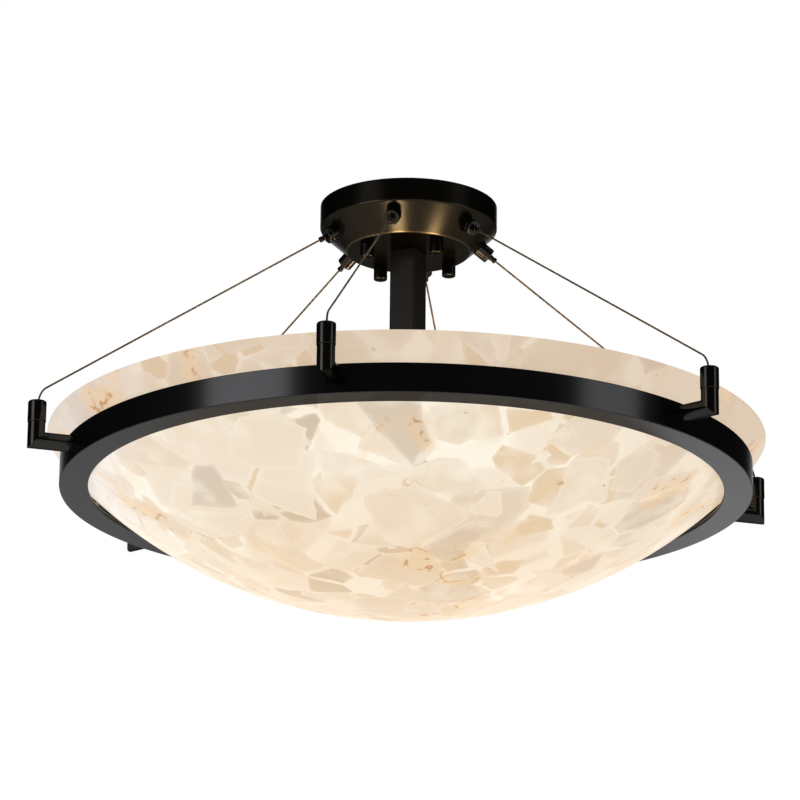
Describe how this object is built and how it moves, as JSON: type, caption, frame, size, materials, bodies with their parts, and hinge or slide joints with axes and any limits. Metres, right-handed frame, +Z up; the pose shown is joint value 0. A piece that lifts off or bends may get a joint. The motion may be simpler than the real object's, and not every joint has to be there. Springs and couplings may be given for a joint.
{
  "type": "semi flush ceiling light",
  "caption": "Semi flush ceiling light: a canopy holds a square stem with lamps and fans out wire ropes to a black angle ring, where a shallow stone-look bowl lies.",
  "frame": {"origin": "centre of the canopy and mounting plate, on the ceiling plane", "axes": "+Z up into the ceiling, along the stem; +X along the line of the two ceiling box screws"},
  "size_m": [0.651, 0.6734, 0.3699],
  "materials": {
    "satin_black": "satin black powder coat",
    "zinc_steel": "zinc plated",
    "green_screw": "green passivated",
    "crimp_metal": "plain",
    "clear_rubber": "clear soft bumper",
    "holder_plastic": "moulded phenolic",
    "lamp_glass": "frosted white",
    "wire_rope": "stranded, darkened",
    "bowl_glass": "cream glass with broken-stone pattern, lit from inside"
  },
  "bodies": {
    "fixture": {"mounting_plate": "zinc_steel", "mounting_studs": "zinc_steel", "stud_lock_nuts": "zinc_steel", "ground_screw": "green_screw", "canopy": "satin_black", "stem": "satin_black", "stem_nipple": "zinc_steel", "cluster_nipple": "zinc_steel", "nipple_lock_nuts": "zinc_steel", "cluster_body": "satin_black", "cluster_cover": "satin_black", "cluster_cap_nut": "satin_black", "lampholder_1": "holder_plastic", "lampholder_2": "holder_plastic", "lampholder_3": "holder_plastic", "lampholder_4": "holder_plastic", "ring": "satin_black", "bracket_1": "satin_black", "bracket_2": "satin_black", "bracket_3": "satin_black", "bracket_4": "satin_black", "bracket_5": "satin_black", "bracket_6": "satin_black", "bracket_screws": "zinc_steel", "rope_cap_1": "satin_black", "rope_cap_2": "satin_black", "rope_cap_3": "satin_black", "rope_cap_4": "satin_black", "rope_cap_5": "satin_black", "rope_cap_6": "satin_black", "rope_stops": "crimp_metal", "rope_1": "wire_rope", "rope_2": "wire_rope", "rope_3": "wire_rope", "rope_4": "wire_rope", "rope_5": "wire_rope", "rope_6": "wire_rope", "gripper_1": "satin_black", "gripper_2": "satin_black", "gripper_3": "satin_black", "gripper_4": "satin_black", "gripper_5": "satin_black", "gripper_6": "satin_black", "gripper_nuts": "zinc_steel", "bowl_pads": "clear_rubber"},
    "thumb_nut_1": {"thumb_nut_1": "satin_black"},
    "thumb_nut_2": {"thumb_nut_2": "satin_black"},
    "thumb_nut_3": {"thumb_nut_3": "satin_black"},
    "thumb_nut_4": {"thumb_nut_4": "satin_black"},
    "bulb_1": {"bulb_1": "lamp_glass"},
    "bulb_2": {"bulb_2": "lamp_glass"},
    "bulb_3": {"bulb_3": "lamp_glass"},
    "bulb_4": {"bulb_4": "lamp_glass"},
    "bowl": {"bowl": "bowl_glass"},
    "release_nozzle_1": {"release_nozzle_1": "satin_black"},
    "release_nozzle_2": {"release_nozzle_2": "satin_black"},
    "release_nozzle_3": {"release_nozzle_3": "satin_black"},
    "release_nozzle_4": {"release_nozzle_4": "satin_black"},
    "release_nozzle_5": {"release_nozzle_5": "satin_black"},
    "release_nozzle_6": {"release_nozzle_6": "satin_black"}
  },
  "joints": [
    {"name": "thumb_nut_1_turn", "type": "hinge", "parent": "fixture", "child": "thumb_nut_1", "pos_m": [0.0366, 0.02496, -0.0495], "axis": [0, 0, -1], "range_deg": [0, 720]},
    {"name": "thumb_nut_2_turn", "type": "hinge", "parent": "fixture", "child": "thumb_nut_2", "pos_m": [-0.02496, 0.0366, -0.0495], "axis": [0, 0, -1], "range_deg": [0, 720]},
    {"name": "thumb_nut_3_turn", "type": "hinge", "parent": "fixture", "child": "thumb_nut_3", "pos_m": [-0.0366, -0.02496, -0.0495], "axis": [0, 0, -1], "range_deg": [0, 720]},
    {"name": "thumb_nut_4_turn", "type": "hinge", "parent": "fixture", "child": "thumb_nut_4", "pos_m": [0.02496, -0.0366, -0.0495], "axis": [0, 0, -1], "range_deg": [0, 720]},
    {"name": "bulb_1_turn", "type": "hinge", "parent": "fixture", "child": "bulb_1", "pos_m": [0.09136, -0.04067, -0.275], "axis": [0.9135, -0.4067, 0], "range_deg": [0, 1080]},
    {"name": "bulb_2_turn", "type": "hinge", "parent": "fixture", "child": "bulb_2", "pos_m": [0.04067, 0.09136, -0.275], "axis": [0.4067, 0.9135, 0], "range_deg": [0, 1080]},
    {"name": "bulb_3_turn", "type": "hinge", "parent": "fixture", "child": "bulb_3", "pos_m": [-0.09136, 0.04067, -0.275], "axis": [-0.9135, 0.4067, 0], "range_deg": [0, 1080]},
    {"name": "bulb_4_turn", "type": "hinge", "parent": "fixture", "child": "bulb_4", "pos_m": [-0.04067, -0.09136, -0.275], "axis": [-0.4067, -0.9135, 0], "range_deg": [0, 1080]},
    {"name": "bowl_lift", "type": "slide", "parent": "fixture", "child": "bowl", "axis": [0, 0, 1], "range_m": [0, 0.02]},
    {"name": "release_nozzle_1_push", "type": "slide", "parent": "fixture", "child": "release_nozzle_1", "axis": [-0.7849, -0.2657, 0.5598], "range_m": [0, 0.002], "stiffness_N_per_m": 200, "springref_m": -0.002},
    {"name": "release_nozzle_2_push", "type": "slide", "parent": "fixture", "child": "release_nozzle_2", "axis": [-0.1624, -0.8126, 0.5598], "range_m": [0, 0.002], "stiffness_N_per_m": 200, "springref_m": -0.002},
    {"name": "release_nozzle_3_push", "type": "slide", "parent": "fixture", "child": "release_nozzle_3", "axis": [0.6225, -0.5469, 0.5598], "range_m": [0, 0.002], "stiffness_N_per_m": 200, "springref_m": -0.002},
    {"name": "release_nozzle_4_push", "type": "slide", "parent": "fixture", "child": "release_nozzle_4", "axis": [0.7849, 0.2657, 0.5598], "range_m": [0, 0.002], "stiffness_N_per_m": 200, "springref_m": -0.002},
    {"name": "release_nozzle_5_push", "type": "slide", "parent": "fixture", "child": "release_nozzle_5", "axis": [0.1624, 0.8126, 0.5598], "range_m": [0, 0.002], "stiffness_N_per_m": 200, "springref_m": -0.002},
    {"name": "release_nozzle_6_push", "type": "slide", "parent": "fixture", "child": "release_nozzle_6", "axis": [-0.6225, 0.5469, 0.5598], "range_m": [0, 0.002], "stiffness_N_per_m": 200, "springref_m": -0.002}
  ]
}
